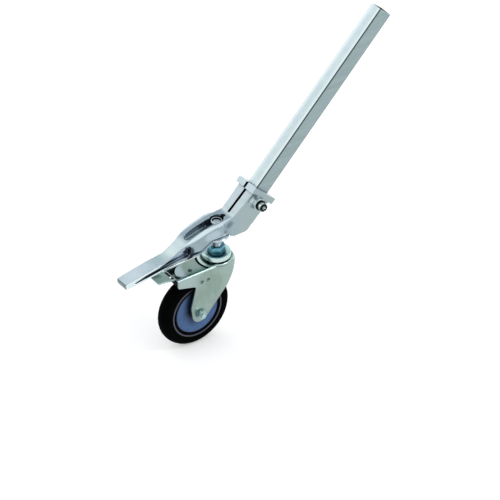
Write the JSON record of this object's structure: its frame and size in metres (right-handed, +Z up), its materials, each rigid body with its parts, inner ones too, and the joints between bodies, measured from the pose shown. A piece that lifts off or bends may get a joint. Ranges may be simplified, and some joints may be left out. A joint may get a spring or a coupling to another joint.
{
  "type": "roller stand leg end with caster",
  "caption": "Lower end of a roller stand leg: clamp casting with a long tapered tongue on a rectangular tube, over a braked swivel caster.",
  "frame": {"origin": "centre of the open upper end of the leg tube, where the rest of the stand holds the leg", "axes": "+Z up with the wheel on the floor, +X from the wheel towards the stand, Y across the leg, its near side at -Y"},
  "size_m": [0.4956, 0.0677, 0.4894],
  "materials": {
    "bright_tube": "bright, fine long grain",
    "bright_casting": "tumbled and bright plated casting",
    "bright_steel": "bright plated",
    "zinc_steel": "zinc plated",
    "dark_zinc": "zinc plated, dull",
    "blue_zinc": "blue zinc plated",
    "zinc_sheet": "zinc plated pressed sheet with a faint green cast",
    "ball_steel": "polished, greased",
    "spring_steel": "blued",
    "brake_rubber": "matt",
    "grey_plastic": "moulded",
    "tyre_rubber": "matt black",
    "blue_plastic": "slate blue, moulded"
  },
  "bodies": {
    "leg": {"leg_tube": "bright_tube", "cast_foot": "bright_casting", "clamp_screw": "zinc_steel", "clamp_washer": "zinc_steel", "caster_stem": "bright_steel", "stem_ring_nut": "bright_steel", "stem_washer": "bright_steel", "lock_nut": "blue_zinc", "upper_race": "zinc_steel", "lower_race": "dark_zinc"},
    "ball_rings": {"upper_ball_ring": "ball_steel", "lower_ball_ring": "ball_steel"},
    "caster": {"fork": "zinc_sheet", "pedal_pin": "dark_zinc", "leaf_spring": "spring_steel", "leaf_rivet": "dark_zinc", "axle_bolt": "zinc_steel", "axle_nut": "dark_zinc", "axle_washer_near": "zinc_steel", "axle_washer_far": "zinc_steel", "axle_sleeve": "zinc_steel"},
    "brake": {"brake_pedal": "zinc_sheet", "brake_shoe": "brake_rubber"},
    "wheel": {"wheel_core": "grey_plastic", "tyre": "tyre_rubber", "cover_near": "blue_plastic", "cover_far": "blue_plastic", "bearing_near": "ball_steel", "bearing_far": "ball_steel"}
  },
  "joints": [
    {"name": "caster_swivel", "type": "hinge", "parent": "leg", "child": "caster", "pos_m": [-0.30757, 0, -0.34], "axis": [0, 0, 1], "continuous": true},
    {"name": "ball_ring_orbit", "type": "hinge", "parent": "leg", "child": "ball_rings", "pos_m": [-0.30757, 0, -0.34], "axis": [0, 0, 1], "continuous": true},
    {"name": "wheel_roll", "type": "hinge", "parent": "caster", "child": "wheel", "pos_m": [-0.35197, 0, -0.41734], "axis": [0, 1, 0], "continuous": true},
    {"name": "brake_pedal_turn", "type": "hinge", "parent": "caster", "child": "brake", "pos_m": [-0.34757, 0, -0.34914], "axis": [0, -1, 0], "range_deg": [0, 7.6]}
  ],
  "couplings": [
    {"joint": "ball_ring_orbit", "follows": "caster_swivel", "ratio": 0.5}
  ]
}
